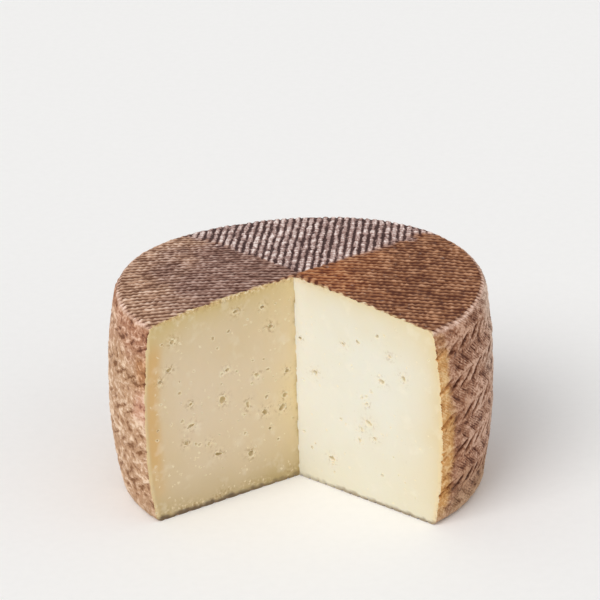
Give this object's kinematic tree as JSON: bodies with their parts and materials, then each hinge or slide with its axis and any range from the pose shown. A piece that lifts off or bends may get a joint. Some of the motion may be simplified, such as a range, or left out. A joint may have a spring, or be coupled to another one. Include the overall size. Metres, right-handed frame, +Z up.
{
  "type": "manchego cheese wheel",
  "caption": "Pressed cheese wheel with a wedge cut out of its front: herringbone plait mark round the barrel side, ribbed top and base, small eyes in the cut paste.",
  "frame": {"origin": "on the wheel's own axis, in the plane that it rests on", "axes": "+Z up along the wheel's axis; the missing wedge opens towards -Y; +X to the right seen from the open side"},
  "size_m": [0.1997, 0.1707, 0.1123],
  "materials": {
    "cheese": "food: dull brown-pink natural rind outside, smooth ivory paste on the cut faces"
  },
  "bodies": {
    "root": {"cheese": "cheese"}
  },
  "joints": []
}
